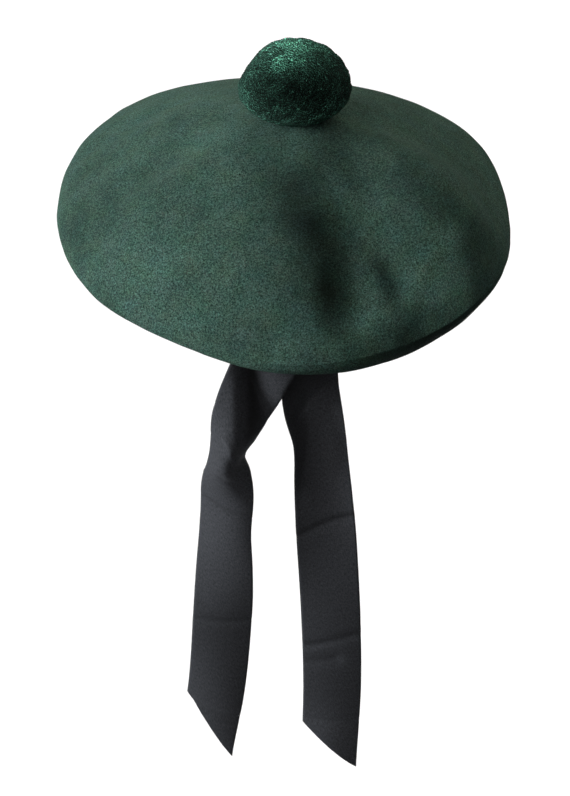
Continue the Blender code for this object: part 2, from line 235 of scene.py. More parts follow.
# The tails, by the distance down from the stitched top.
# down and middle: shares of the tail's length, middle being the place across the back.
# out: away from the back, and arch: how far the middle bows out, as shares of the ribbon's width.
# turn: of the ribbon about its length, in degrees.
TAIL_COLUMNS = ("down", "middle", "out", "arch", "turn")
LEFT_TAIL_ROWS = (
    (0.000, 0.012, 0.000, 0.000, 0),
    (0.075, -0.012, 0.060, 0.025, 0),
    (0.150, -0.052, 0.090, 0.030, -4),
    (0.225, -0.082, 0.145, 0.120, -2),
    (0.280, -0.102, 0.145, 0.315, 4),
    (0.323, -0.114, 0.130, 0.400, 6),
    (0.365, -0.114, 0.100, 0.300, -6),
    (0.425, -0.115, 0.065, 0.170, -22),
    (0.500, -0.119, 0.050, 0.150, -26),
    (0.600, -0.122, 0.040, 0.090, -16),
    (0.735, -0.129, 0.025, 0.060, 0),
    (0.900, -0.142, 0.025, 0.105, -6),
    (1.080, -0.167, 0.035, 0.110, -20),
)
RIGHT_TAIL_ROWS = (
    (0.000, 0.017, 0.000, 0.000, 0),
    (0.060, 0.0235, 0.010, 0.000, 0),
    (0.105, 0.032, -0.060, -0.020, 12),
    (0.150, 0.040, -0.150, -0.040, 24),
    (0.210, 0.045, -0.130, -0.100, 20),
    (0.295, 0.0600, -0.050, -0.230, 8),
    (0.395, 0.0665, 0.010, -0.160, 5),
    (0.535, 0.0755, 0.045, -0.030, 3),
    (0.680, 0.083, 0.050, 0.030, 2),
    (0.850, 0.087, 0.055, 0.050, 4),
    (1.070, 0.082, 0.055, 0.120, 8),
)
# A tail's slope is taken over one step to each side, of this many steps in its length
SLOPE_STEPS = 330

# Folds and pressed creases of the tails, with the columns of the crown's folds. Everything is
# a share of the ribbon's width: x from the ribbon's middle, y down from the stitched top.
LEFT_CREASES = (
    ("deep fold at the top", -0.12, 1.36, 0.44, 1.96, 0.34, 0.26, 0.280, 1.3),
    ("ridge at the left of it", -0.32, 1.45, 0.04, 2.35, 0.22, 0.09, -0.080, 1.6),
    ("raised fold at the bend", -0.20, 2.28, 0.42, 2.80, 0.05, 0.07, -0.040, 1.4),
    ("faint crease under the bend", -0.15, 2.98, 0.45, 3.32, 0.05, 0.05, 0.020, 1.2),
    ("crease in the upper half", -0.50, 3.72, 0.50, 3.92, 0.05, 0.05, 0.046, 1.2),
    ("dent at the left edge", -0.42, 5.75, -0.30, 5.83, 0.08, 0.08, 0.012, 1.4),
    ("crease in the lower half", -0.50, 6.23, 0.50, 6.17, 0.07, 0.07, 0.044, 1.4),
    ("crease above the cut", -0.40, 8.03, 0.50, 8.19, 0.08, 0.08, 0.034, 1.4),
)
RIGHT_CREASES = (
    ("fold at the top", 0.55, 1.48, -0.28, 2.12, 0.10, 0.07, 0.060, 1.3),
    ("trough down the left edge", -0.10, 1.75, -0.45, 3.80, 0.26, 0.12, 0.050, 1.6),
    ("crease in the upper half", -0.50, 4.43, 0.50, 4.12, 0.06, 0.06, 0.050, 1.2),
    ("crease in the lower half", -0.50, 6.76, 0.50, 6.54, 0.08, 0.08, 0.044, 1.4),
    ("dent below it", -0.45, 7.08, 0.05, 7.03, 0.12, 0.12, 0.034, 1.8),
    ("crease above the cut", -0.50, 8.33, 0.47, 8.41, 0.07, 0.07, 0.034, 1.4),
)
# Painted shade and painted light on the tails' colour, with the columns of the crown's painted
# light and shade: painted shade in and over folds, at the top and along edges, painted light in
# the right tail's middle and at its tip, and the left tail's lower half a little darker
LEFT_PAINTED_LIGHT_AND_SHADE = (
    ("dark side of the deep fold", -0.26, 0.98, 0.28, 2.16, 0.13, 0.20, 0.86, 2.0),
    ("stitched edge", 0.49, 0.45, 0.49, 1.35, 0.04, 0.04, 0.80, 2.0),
    ("over the crease in the upper half", -0.50, 3.66, 0.50, 3.86, 0.05, 0.05, 0.28, 1.6),
    ("lower half", -0.10, 6.40, -0.10, 8.40, 0.50, 0.50, 0.12, 2.0),
)
RIGHT_PAINTED_LIGHT_AND_SHADE = (
    ("dark top", -0.20, 0.50, -0.05, 1.25, 0.60, 0.50, 0.56, 2.0),
    ("dark left edge", -0.40, 1.60, -0.44, 3.40, 0.20, 0.26, 0.45, 2.0),
    ("light middle", 0.20, 2.20, 0.20, 3.40, 0.22, 0.22, -0.16, 2.0),
    ("over the crease in the upper half", -0.50, 4.37, 0.50, 4.06, 0.06, 0.06, 0.28, 1.6),
    ("light tip", 0.00, 8.60, 0.10, 8.90, 0.50, 0.50, -0.50, 2.0),
)

# Camera: the photograph's viewing angle. Pixels are those of an image of 570 by 796.
IMAGE_HEIGHT = 796
SENSOR = 36
CAMERA_RISE = math.radians(33.5)
CAMERA_AIM = Vector((0, -0.1, -0.045))
CAMERA_DISTANCE = 1.75
FOCAL_PIXELS = 2764
SHIFT_PIXELS = (-1.7, -8.3)

# The round floor and the round backdrop that stands on it, in metres, and how much that glows
PAPER_WHITE = "F9F6FF"
STAGE_SIDES = 96
FLOOR_REACH = 30
BACKDROP_REACH = 20
BACKDROP_HEIGHT = 25
BACKDROP_GLOW = 1.2

# Soft lights round the bonnet: bearing from +X and rise above the level, in degrees.
# share: of the key light's strength. softness: width of the light as seen from the bonnet, in degrees.
LIGHT_COLUMNS = ("name", "bearing", "rise", "share", "softness", "colour")
LIGHT_ROWS = (
    ("key_light", 190, 11, 1.00, 24, "FAFFFF"),
    ("front_light", 240, 35, 0.23, 30, "FFFFFA"),
    ("back_light", 70, 30, 0.28, 60, "FFFFEA"),
)


def linear(value):
    """An sRGB value of 0 to 1 as a linear one."""
    return value / 12.92 if value <= 0.04045 else ((value + 0.055) / 1.055) ** 2.4


def hex_colour(text):
    """A linear colour from its six sRGB hex digits."""
    return tuple(linear(int(text[place : place + 2], 16) / 255) for place in (0, 2, 4))


def tinted(colour, share):
    """A colour made lighter or darker by this share, with the alpha that a socket wants."""
    return (*[min(value * share, 1) for value in colour], 1)


def add_node(tree, kind, inputs=None, **settings):
    """Adds a node, gives it its settings, and fills or links its inputs."""
    made = tree.nodes.new(kind)
    for name, value in settings.items():
        setattr(made, name, value)
    for key, value in (inputs or {}).items():
        if isinstance(value, bpy.types.NodeSocket):
            tree.links.new(value, made.inputs[key])
        else:
            made.inputs[key].default_value = value
    return made


def new_material(
    name, colour, roughness, specular, sheen=0, sheen_roughness=0.5, sheen_tint=(1, 1, 1)
):
    """A matt material whose even values stand on the shader itself."""
    made = bpy.data.materials.new(name)
    made.use_nodes = True
    made.diffuse_color = tinted(colour, 1)
    shader = made.node_tree.nodes["Principled BSDF"]
    values = {
        "Metallic": 0,
        "Roughness": roughness,
        "Specular IOR Level": specular,
        "Sheen Weight": sheen,
        "Sheen Roughness": sheen_roughness,
        "Sheen Tint": (*sheen_tint, 1),
    }
    for key, value in values.items():
        shader.inputs[key].default_value = value
    return made, made.node_tree, shader


def make_wool_felt(name, colour):
    """Milled wool felt: matt, a mesh of crossing fibres, small pits, and cloudy patches from blocking."""
    made, tree, shader = new_material(
        name, colour, roughness=0.95, specular=0.05, sheen=0.03, sheen_tint=(0.5, 0.85, 0.7)
    )
    place = add_node(tree, "ShaderNodeTexCoord").outputs["Object"]
    # Tufts of matted wool about 1 mm across, and pits between them of half that
    tufts = add_node(
        tree, "ShaderNodeTexNoise",
        {"Vector": place, "Scale": 1050, "Detail": 3, "Roughness": 0.7, "Distortion": 0.4},
    ).outputs["Fac"]
    # Single fibres are 0.03 mm thick, and are drawn at 0.4 mm so that they show
    strands = add_node(
        tree, "ShaderNodeTexNoise",
        {"Vector": place, "Scale": 420, "Detail": 1, "Roughness": 0.5, "Distortion": 2.2},
    ).outputs["Fac"]
    off_middle = add_node(
        tree, "ShaderNodeMath", {0: strands, 1: 0.5}, operation="SUBTRACT"
    ).outputs[0]
    off_strand = add_node(tree, "ShaderNodeMath", {0: off_middle}, operation="ABSOLUTE").outputs[0]
    fibres = add_node(
        tree, "ShaderNodeMapRange",
        {"Value": off_strand, "From Min": 0, "From Max": 0.035, "To Min": 1, "To Max": 0},
    ).outputs[0]
    # Patches 30 mm across where the nap lies another way
    clouds = add_node(
        tree, "ShaderNodeTexNoise", {"Vector": place, "Scale": 34, "Detail": 5, "Roughness": 0.7}
    ).outputs["Fac"]
    speckled = add_node(tree, "ShaderNodeValToRGB", {"Fac": tufts})
    stops = speckled.color_ramp.elements
    stops[0].position, stops[0].color = 0.34, tinted(colour, 0.15)
    stops[1].position, stops[1].color = 0.67, tinted(colour, 2.5)
    middle = stops.new(0.5)
    middle.color = tinted(colour, 0.95)
    fleck_share = add_node(
        tree, "ShaderNodeMath", {0: fibres, 1: 0.45}, operation="MULTIPLY"
    ).outputs[0]
    # Sockets 6 and 7 are the two colours of a mix node, and output 2 is their mix
    flecked = add_node(
        tree, "ShaderNodeMix",
        {"Factor": fleck_share, 6: speckled.outputs["Color"], 7: (*hex_colour(PALE_HAIR), 1)},
        data_type="RGBA",
    )
    cloud_share = add_node(
        tree, "ShaderNodeMapRange",
        {"Value": clouds, "From Min": 0.3, "From Max": 0.7, "To Min": 0.76, "To Max": 1.24},
    ).outputs[0]
    # The piece's tone paints shade and light on the colour, on top of the cloudy patches
    kept = add_node(tree, "ShaderNodeAttribute", attribute_name="tone").outputs["Fac"]
    tone = add_node(tree, "ShaderNodeMath", {0: cloud_share, 1: kept}, operation="MULTIPLY").outputs[0]
    # The dye drifts between a bluer and a browner green over 15 mm and less
    drift = add_node(
        tree, "ShaderNodeTexNoise", {"Vector": place, "Scale": 65, "Detail": 4, "Roughness": 0.65}
    ).outputs["Color"]
    dye = add_node(
        tree, "ShaderNodeVectorMath", {0: drift, 1: (0.6, 0.1, 0.5), 2: (0.7, 0.95, 0.75)},
        operation="MULTIPLY_ADD",
    ).outputs[0]
    dyed = add_node(
        tree, "ShaderNodeVectorMath", {0: flecked.outputs[2], 1: dye}, operation="MULTIPLY"
    ).outputs[0]
    toned = add_node(tree, "ShaderNodeVectorMath", {0: dyed, "Scale": tone}, operation="SCALE")
    tree.links.new(toned.outputs[0], shader.inputs["Base Color"])
    raised = add_node(
        tree, "ShaderNodeMath", {0: fibres, 1: 0.25, 2: tufts}, operation="MULTIPLY_ADD"
    ).outputs[0]
    relief = add_node(
        tree, "ShaderNodeBump", {"Strength": 0.9, "Distance": 0.7 * MM, "Height": raised}
    )
    tree.links.new(relief.outputs["Normal"], shader.inputs["Normal"])
    return made


def make_cut_yarn(name, colour):
    """Cut wool yarn, with light and shade painted along each strand: painted shade deep between the
    strands and on the cut ends, and a painted highlight close to their tips.
    """
    made, tree, shader = new_material(
        name, colour, roughness=0.95, specular=0.05, sheen=0.05, sheen_roughness=0.45,
        sheen_tint=(0.5, 0.85, 0.72),
    )
    rise = add_node(tree, "ShaderNodeAttribute", attribute_name="rise").outputs["Fac"]
    shade = add_node(tree, "ShaderNodeAttribute", attribute_name="shade").outputs["Fac"]
    # Painted shade at the roots and on the cut ends, and a painted highlight just under the cut
    depth = add_node(tree, "ShaderNodeValToRGB", {"Fac": rise})
    stops = depth.color_ramp.elements
    stops[0].position, stops[0].color = 0.45, tinted(colour, 0.04)
    stops[1].position, stops[1].color = 1.00, tinted(colour, 0.06)
    side = stops.new(0.80)
    side.color = tinted(colour, 1.20)
    painted_highlight = stops.new(0.93)
    painted_highlight.color = tinted(colour, 2.90)
    toned = add_node(
        tree, "ShaderNodeVectorMath", {0: depth.outputs["Color"], "Scale": shade}, operation="SCALE"
    )
    tree.links.new(toned.outputs[0], shader.inputs["Base Color"])
    place = add_node(tree, "ShaderNodeTexCoord").outputs["Object"]
    # The plies of a strand are 0.5 mm apart
    plies = add_node(
        tree, "ShaderNodeTexNoise", {"Vector": place, "Scale": 2000, "Detail": 2}
    ).outputs["Fac"]
    relief = add_node(
        tree, "ShaderNodeBump", {"Strength": 0.5, "Distance": 0.3 * MM, "Height": plies}
    )
    tree.links.new(relief.outputs["Normal"], shader.inputs["Normal"])
    return made


def make_woven_ribbon(name, colour):
    """Woven taffeta ribbon: a dull gleam, fine weft ribs, uneven threads and a firm selvedge."""
    made, tree, shader = new_material(
        name, colour, roughness=0.8, specular=0.08, sheen=0.03, sheen_roughness=0.4,
        sheen_tint=(0.8, 0.85, 0.9),
    )
    weave = add_node(tree, "ShaderNodeUVMap", uv_map="weave").outputs["UV"]
    # Weft ribs are 0.3 mm apart, and are drawn at 0.6 mm as short uneven streaks so that they show
    along_weft = add_node(
        tree, "ShaderNodeMapping", {"Vector": weave, "Scale": (500, 1700, 1)}
    ).outputs[0]
    weft = add_node(
        tree, "ShaderNodeTexNoise", {"Vector": along_weft, "Scale": 1, "Detail": 2, "Roughness": 0.6}
    ).outputs["Fac"]
    along_warp = add_node(
        tree, "ShaderNodeMapping", {"Vector": weave, "Scale": (1700, 450, 1)}
    ).outputs[0]
    warp = add_node(
        tree, "ShaderNodeTexNoise", {"Vector": along_warp, "Scale": 1, "Detail": 2, "Roughness": 0.6}
    ).outputs["Fac"]
    cloth = add_node(tree, "ShaderNodeMath", {0: weft, 1: warp}, operation="ADD").outputs[0]
    across = add_node(tree, "ShaderNodeSeparateXYZ", {"Vector": weave}).outputs["X"]
    off_middle = add_node(tree, "ShaderNodeMath", {0: across}, operation="ABSOLUTE").outputs[0]
    # The selvedge is the last 1.2 mm at each edge
    selvedge = add_node(
        tree, "ShaderNodeMapRange",
        {
            "Value": off_middle,
            "From Min": ribbon_width / 2 - 1.5 * MM,
            "From Max": ribbon_width / 2 - 1.2 * MM,
            "To Min": 0,
            "To Max": 1,
        },
    ).outputs[0]
    half = add_node(tree, "ShaderNodeMath", {0: cloth, 1: 0.5}, operation="MULTIPLY").outputs[0]
    toned = add_node(tree, "ShaderNodeValToRGB", {"Fac": half})
    stops = toned.color_ramp.elements
    stops[0].position, stops[0].color = 0.36, tinted(colour, 0.5)
    stops[1].position, stops[1].color = 0.64, tinted(colour, 1.5)
    # The piece's tone paints shade and light on the ribbon's colour
    kept = add_node(tree, "ShaderNodeAttribute", attribute_name="tone").outputs["Fac"]
    shaded = add_node(
        tree, "ShaderNodeVectorMath", {0: toned.outputs["Color"], "Scale": kept}, operation="SCALE"
    )
    tree.links.new(shaded.outputs[0], shader.inputs["Base Color"])
    raised = add_node(
        tree, "ShaderNodeMath", {0: selvedge, 1: 0.6, 2: cloth}, operation="MULTIPLY_ADD"
    ).outputs[0]
    relief = add_node(
        tree, "ShaderNodeBump", {"Strength": 0.4, "Distance": 0.15 * MM, "Height": raised}
    )
    tree.links.new(relief.outputs["Normal"], shader.inputs["Normal"])
    return made


def make_studio_paper(name):
    """Matt white paper under the bonnet: no gloss and no grain at this distance."""
    colour = hex_colour(PAPER_WHITE)
    made, tree, shader = new_material(name, colour, roughness=0.95, specular=0.1)
    place = add_node(tree, "ShaderNodeTexCoord").outputs["Object"]
    waves = add_node(
        tree, "ShaderNodeTexNoise", {"Vector": place, "Scale": 1.5, "Detail": 1}
    ).outputs["Fac"]
    toned = add_node(tree, "ShaderNodeValToRGB", {"Fac": waves})
    toned.color_ramp.elements[0].color = tinted(colour, 0.98)
    toned.color_ramp.elements[1].color = tinted(colour, 1)
    tree.links.new(toned.outputs["Color"], shader.inputs["Base Color"])
    return made


def make_lit_backdrop(name):
    """White paper with its own lamps behind it: even and bright all over."""
    made = make_studio_paper(name)
    shader = made.node_tree.nodes["Principled BSDF"]
    shader.inputs["Emission Color"].default_value = tinted(hex_colour(PAPER_WHITE), 1)
    shader.inputs["Emission Strength"].default_value = BACKDROP_GLOW
    return made


def smooth(before, start, end, after, share):
    """The value between start and end on a smooth curve through all four."""
    return 0.5 * (
        2 * start
        + (end - before) * share
        + (2 * before - 5 * start + 4 * end - after) * share**2
        + (3 * start - before - 3 * end + after) * share**3
    )


@functools.lru_cache(maxsize=None)
def around(column, bearing):
    """A rim value at this bearing in degrees, smooth all the way round."""
    place = RIM_COLUMNS.index(column)
    count = len(RIM_ROWS)
    step = 360 / count
    first = int(bearing // step) % count
    share = (bearing % 360 - first * step) / step
    values = [RIM_ROWS[(first + shift) % count][place] for shift in (-1, 0, 1, 2)]
    return smooth(*values, share)


def along(rows, column, down):
    """A tail value at this share of its length."""
    place = TAIL_COLUMNS.index(column)
    last = len(rows) - 1
    first = max(index for index in range(last) if rows[index][0] <= max(down, 0))
    share = (down - rows[first][0]) / (rows[first + 1][0] - rows[first][0])
    ends = [min(max(first + shift, 0), last) for shift in (-1, 0, 1, 2)]
    return smooth(*[rows[index][place] for index in ends], share)


def oval(half_width, half_length, bearing):
    """The distance from the middle to an oval at this bearing."""
    angle = math.radians(bearing)
    return 1 / math.hypot(math.cos(angle) / half_width, math.sin(angle) / half_length)


def band_reach(outwards, bearing):
    """The distance from the middle to a line this far outside the headband's inner face."""
    return oval(opening_width / 2 + outwards, opening_length / 2 + outwards, bearing)


def off_line(place, start, end):
    """The way to a place from a straight line with two ends."""
    run = end - start
    share = min(max((place - start).dot(run) / run.length_squared, 0), 1)
    return place - start - share * run


def eased(share):
    """A share of 0 to 1 that starts and stops gently."""
    share = min(max(share, 0), 1)
    return share * share * (3 - 2 * share)


def folded(rows, place):
    """How deep these folds are at a place, as a share. Tables of painted light and shade with the same
    columns are summed the same way.
    """
    total = 0
    for row in rows:
        fold = dict(zip(FOLD_COLUMNS, row))
        start = Vector((fold["start_x"], fold["start_y"]))
        end = Vector((fold["end_x"], fold["end_y"]))
        off = off_line(place, start, end)
        highness = (1 + off.x / off.length) / 2 if off.length else 0
        half_width = fold["low_side"] + (fold["high_side"] - fold["low_side"]) * highness
        total += fold["depth"] * math.exp(-((off.length / half_width) ** fold["sharpness"]))
    return total


def crown_point(share, bearing):
    """A point of the crown's top, from the pompom's seat at 0 to the rim's crease at 1."""
    angle = math.radians(bearing)
    reach = around("reach", bearing) * crown_reach
    edge = around("height", bearing) * crown_height
    power = 1 + around("fullness", bearing)
    inner = seat_radius / reach
    spread = inner + (1 - inner) * share
    x = seat_x + (reach * math.cos(angle) - seat_x) * spread
    y = reach * math.sin(angle) * spread
    drop = 1 - (1 - share**power) ** (1 / power)
    fade = eased(FOLD_FADE_AT_RIM * (1 - share)) * eased(FOLD_FADE_AT_SEAT * share)
    depth = folded(FOLD_ROWS, Vector((x, y)) / crown_reach) * crown_height
    z = crown_height - (crown_height - edge) * drop - depth * fade
    return Vector((x, y, z))


@functools.lru_cache(maxsize=None)
def rim_posts(bearing):
    """The points that the section goes through from the crease to the headband."""
    angle = math.radians(bearing)
    outwards = Vector((math.cos(angle), math.sin(angle), 0))
    roll = around("roll", bearing) * crown_height
    tuck = around("tuck", bearing)
    crease = crown_point(1, bearing)
    bulge = crease + (ROLL_MIDDLE - tuck) * roll * outwards - ROLL_MIDDLE * roll * UP
    under_rim = crease - tuck * roll * outwards - roll * UP
    seat = (band_height + seat_gap) * UP
    over_band = band_reach(band_outside + seat_gap, bearing) * outwards + seat
    inside = band_reach(-seat_gap, bearing) * outwards + seat
    hem = inside - (seat_gap + hem_drop) * UP
    return crease, bulge, under_rim, over_band, inside, hem


def crown_place(ring, bearing):
    """The felt's outer face at this ring, from the seat over the rim and in to the hem."""
    if ring <= TOP_RINGS:
        share = 1 - (1 - ring / TOP_RINGS) ** TOP_CROWDING
        return crown_point(share, bearing)
    crease, bulge, under_rim, over_band, inside, hem = rim_posts(bearing)
    ring -= TOP_RINGS
    before = crease + (crease - bulge).length * UP
    after = under_rim.lerp(over_band, (under_rim - bulge).length / (over_band - under_rim).length)
    if ring <= ROLL_RINGS:
        share = 2 * ring / ROLL_RINGS
        if share <= 1:
            return smooth(before, crease, bulge, under_rim, share)
        return smooth(crease, bulge, under_rim, after, share - 1)
    ring -= ROLL_RINGS
    if ring <= UNDER_RINGS:
        share = ring / UNDER_RINGS
        sag = underside_sag * math.sin(math.pi * share) * UP
        return under_rim.lerp(over_band, share) - sag
    share = (ring - UNDER_RINGS) / LAP_RINGS * 2
    return over_band.lerp(inside, share) if share <= 1 else inside.lerp(hem, share - 1)


def spun(build, start, end, cuts, spokes):
    """A straight row of points from start to end, spun all the way round the upright axis."""
    ends = [bmesh.ops.create_vert(build, co=place)["vert"][0] for place in (start, end)]
    row = build.edges.new(ends)
    bmesh.ops.subdivide_edges(build, edges=[row], cuts=cuts)
    bmesh.ops.spin(
        build,
        geom=build.verts[:] + build.edges[:],
        cent=(0, 0, 0),
        axis=(0, 0, 1),
        dvec=(0, 0, 0),
        angle=2 * math.pi,
        steps=spokes,
        use_merge=True,
    )


def spoke_bearing(place, spokes):
    """The bearing in degrees of the spoke that this point stands on."""
    turn = math.degrees(math.atan2(place.y, place.x)) / 360
    return 360 / spokes * (round(turn * spokes) % spokes)


def unevenness(place, wave):
    """A slow random rise and fall between -1 and 1, about once every wave."""
    return noise.noise(place / wave)


def finish_piece(build, name, look, thickness=0, offset=0, sharp=30):
    """Makes the piece from its bmesh and gives it its wall. Bends over sharp degrees stay crisp."""
    mesh = bpy.data.meshes.new(name)
    build.to_mesh(mesh)
    build.free()
    piece = bpy.data.objects.new(name, mesh)
    bpy.context.scene.collection.objects.link(piece)
    mesh.materials.append(look)
    if thickness:
        wall = piece.modifiers.new("wall", "SOLIDIFY")
        wall.thickness = thickness
        wall.offset = offset
        wall.use_even_offset = True
    mesh.shade_smooth()
    mesh.set_sharp_from_angle(angle=math.radians(sharp))
    return piece


def turn_outwards(build, outwards):
    """Makes the faces agree, and turns them all if the highest one doesn't point outwards."""
    bmesh.ops.recalc_face_normals(build, faces=build.faces)
    highest = max(build.faces, key=lambda face: face.calc_center_median().z)
    if highest.normal.dot(outwards(highest.calc_center_median())) < 0:
        bmesh.ops.reverse_faces(build, faces=build.faces)
    build.normal_update()


def sideways(place):
    """The way from the upright axis to a place."""
    return Vector((place.x, place.y, 0))


def dress(piece, node):
    """The piece stands for this solid, which is hidden, and rides on the bonnet."""
    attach(piece, "root")
    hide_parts(node)


def make_crown(felt):
    """Spins a flat disc of rings, sets each ring on the crown's section, and closes the seat."""
    rings = TOP_RINGS + ROLL_RINGS + UNDER_RINGS + LAP_RINGS
    build = bmesh.new()
    # Ring 0 has a radius of 1 and each ring after it is 1 wider, so it alone is within 1.5
    spun(build, (1, 0, 0), (1 + rings, 0, 0), rings - 1, SPOKES)
    inner = [
        edge
        for edge in build.edges
        if edge.is_boundary and max(vert.co.length for vert in edge.verts) < 1.5
    ]
    tone = build.verts.layers.float.new("tone")
    deepest = max(row[RIM_COLUMNS.index("roll")] for row in RIM_ROWS)
    for vert in build.verts:
        ring = round(vert.co.length - 1)
        bearing = spoke_bearing(vert.co, SPOKES)
        vert.co = crown_place(ring, bearing)
        # The tone paints shade on the rolled edge, and painted shade and painted light over the crown's
        # top from its table
        if ring > TOP_RINGS:
            painted_light_and_shade = ROLL_PAINTED_SHADE * (around("roll", bearing) / deepest) ** ROLL_SHARPNESS
        else:
            painted_light_and_shade = folded(CROWN_PAINTED_LIGHT_AND_SHADE, Vector((vert.co.x, vert.co.y)) / crown_reach)
        vert[tone] = 1 - painted_light_and_shade
    bmesh.ops.edgeloop_fill(build, edges=inner)
    turn_outwards(build, lambda place: UP)
    for vert in build.verts:
        out = math.hypot(vert.co.x, vert.co.y)
        if vert.co.z < band_height - MM and out < crown_reach * EVEN_REACH:
            continue
        lumps = unevenness(vert.co, LUMP_WAVE)
        lumps += SMALL_LUMPS * unevenness(vert.co, SMALL_LUMP_WAVE)
        vert.co += vert.normal * felt.lumps * lumps
    look = make_wool_felt("green wool felt", felt.colour)
    return finish_piece(build, "felt_crown", look, crown_felt, offset=-1, sharp=50)


def make_oval_band(name, look, inner, thickness, low, high):
    """An upright oval band whose inner face is this far outside the headband's inner face."""
    build = bmesh.new()
    spun(build, (1, 0, 0), (1, 0, 1), BAND_ROWS - 1, BAND_SPOKES)
    weave = build.loops.layers.uv.new("weave")
    tone = build.verts.layers.float.new("tone")
    turn_outwards(build, sideways)
    # The length round the opening by its mean width, which is near enough for the weave
    round_length = math.pi * (opening_width + opening_length) / 2
    for face in build.faces:
        centre = face.calc_center_median()
        middle = math.atan2(centre.y, centre.x)
        for loop in face.loops:
            turn = math.atan2(loop.vert.co.y, loop.vert.co.x) - middle
            turn = middle + (turn + math.pi) % (2 * math.pi) - math.pi
            height = (loop.vert.co.z - 0.5) * (high - low)
            loop[weave].uv = (height, turn / (2 * math.pi) * round_length)
    for vert in build.verts:
        vert[tone] = 1
        bearing = spoke_bearing(vert.co, BAND_SPOKES)
        height = low + vert.co.z * (high - low)
        vert.co = sideways(vert.co).normalized() * band_reach(inner, bearing) + height * UP
    return finish_piece(build, name, look, thickness, offset=1, sharp=50)


def tail_point(rows, creases, length, layer, across, down):
    """A point of a tail: across runs from -1 to 1, down is the share of its length from its top."""
    middle, out, arch, turn = (along(rows, name, down) for name in TAIL_COLUMNS[1:])
    before = max(down - 1 / SLOPE_STEPS, 0)
    after = down + 1 / SLOPE_STEPS
    slope = (along(rows, "middle", after) - along(rows, "middle", before)) / (after - before)
    lean = math.atan(slope)
    # A shallow bow of this height shortens the width between the ribbon's edges
    chord = ribbon_width * (1 - 8 / 3 * arch**2)
    aside = across * chord / 2
    turned = math.radians(turn)
    bow = arch * ribbon_width * (1 - across**2)
    bow -= folded(creases, Vector((across / 2, down * length / ribbon_width))) * ribbon_width
    on_band = opening_length / 2 + band_outside + seat_gap + ribbon_thick / 2
    lapped = layer * (ribbon_thick + seat_gap)
    x = middle * length + aside * math.cos(turned) * math.cos(lean)
    y = aside * math.sin(turned) - on_band - lapped - out * ribbon_width - bow
    z = tail_top - down * length + aside * math.cos(turned) * math.sin(lean)
    return Vector((x, y, z))


def make_tail(name, look, rows, creases, tones_and_painted_light, length, cut, layer):
    """Hangs a flat grid down its table. The slanted cut is longer on its right."""
    build = bmesh.new()
    bmesh.ops.create_grid(build, x_segments=TAIL_STRIPS, y_segments=TAIL_STEPS, size=1)
    weave = build.loops.layers.uv.new("weave")
    for face in build.faces:
        for loop in face.loops:
            place = loop.vert.co
            loop[weave].uv = (place.x * ribbon_width / 2, (1 - place.y) / 2 * length)
    tone = build.verts.layers.float.new("tone")
    for vert in build.verts:
        across = vert.co.x
        down = (1 - vert.co.y) / 2 * (1 + across * cut / 2 / length)
        flat = Vector((across / 2, down * length / ribbon_width))
        vert.co = tail_point(rows, creases, length, layer, across, down)
        # The tone paints shade and light on the tail from its table
        vert[tone] = 1 - folded(tones_and_painted_light, flat)
    turn_outwards(build, lambda place: Vector((0, -1, 0)))
    return finish_piece(build, name, look, ribbon_thick, sharp=60)


def yarn_end(width, length):
    """One cut end of yarn, from its narrow root at 0 to its flat cut, as a small closed form."""
    build = bmesh.new()
    bmesh.ops.create_circle(build, cap_ends=True, segments=3, radius=width * ROOT_SHARE / 2)
    tip = bmesh.ops.extrude_face_region(build, geom=build.faces[:])["geom"]
    corners = [item for item in tip if isinstance(item, bmesh.types.BMVert)]
    bmesh.ops.translate(build, verts=corners, vec=(0, 0, length))
    bmesh.ops.scale(build, verts=corners, vec=(1 / ROOT_SHARE, 1 / ROOT_SHARE, 1))
    bmesh.ops.recalc_face_normals(build, faces=build.faces)
    return build


def joined_copies(name, pattern, frames, values):
    """Copies a small form to every frame, in one mesh. values are kept on each copy's points."""
    points = np.array([[*vert.co, 1] for vert in pattern.verts])
    corners = [[vert.index for vert in face.verts] for face in pattern.faces]
    moved = (frames @ points.T)[:, :3].transpose(0, 2, 1).reshape(-1, 3)
    faces = [
        [corner + copy * len(points) for corner in face]
        for copy in range(len(frames))
        for face in corners
    ]
    mesh = bpy.data.meshes.new(name)
    mesh.from_pydata(moved, [], faces)
    for key, each in values.items():
        layer = mesh.attributes.new(key, "FLOAT", "POINT")
        layer.data.foreach_set("value", each.astype(np.float32))
    return mesh


def golden_aims(count):
    """Directions spread evenly over a ball, in one spiral from its top to its bottom."""
    index = np.arange(count)
    rise = 1 - 2 * (index + 0.5) / count
    angle = index * math.pi * (3 - math.sqrt(5))
    level = np.sqrt(1 - rise**2)
    return np.stack([level * np.cos(angle), level * np.sin(angle), rise], 1)


def half_sizes(aims):
    """The ball's reach to each side and up or down, which is taller above its widest level."""
    rise = np.where(aims[:, 2] > 0, pompom_height - pompom_belly, pompom_belly)
    reach = np.full_like(rise, pompom_width / 2)
    return np.stack([reach, reach, rise], 1)


def trimmed(aims):
    """The share of the ball's reach that is left in these directions."""
    return 1 - FLAT_SHARE * np.clip(aims @ FLAT_AIM, 0, 1)[:, None] ** FLAT_SHARPNESS


def toorie_core(centre, depth):
    """The ball this far under the cut ends, cut flat where it would go into the crown."""
    build = bmesh.new()
    bmesh.ops.create_icosphere(build, subdivisions=4, radius=1)
    for vert in build.verts:
        aim = np.array([vert.co])
        size = half_sizes(aim) * trimmed(aim) - depth
        vert.co = Vector(centre + (aim * size)[0])
    cut = bmesh.ops.bisect_plane(
        build,
        geom=build.verts[:] + build.edges[:] + build.faces[:],
        plane_co=(0, 0, crown_height + seat_gap),
        plane_no=(0, 0, -1),
        clear_outer=True,
    )["geom_cut"]
    rim = [item for item in cut if isinstance(item, bmesh.types.BMEdge)]
    bmesh.ops.edgeloop_fill(build, edges=rim)
    bmesh.ops.recalc_face_normals(build, faces=build.faces)
    return build


def unit(ways):
    """These ways, each with a length of 1."""
    return ways / np.linalg.norm(ways, axis=1)[:, None]


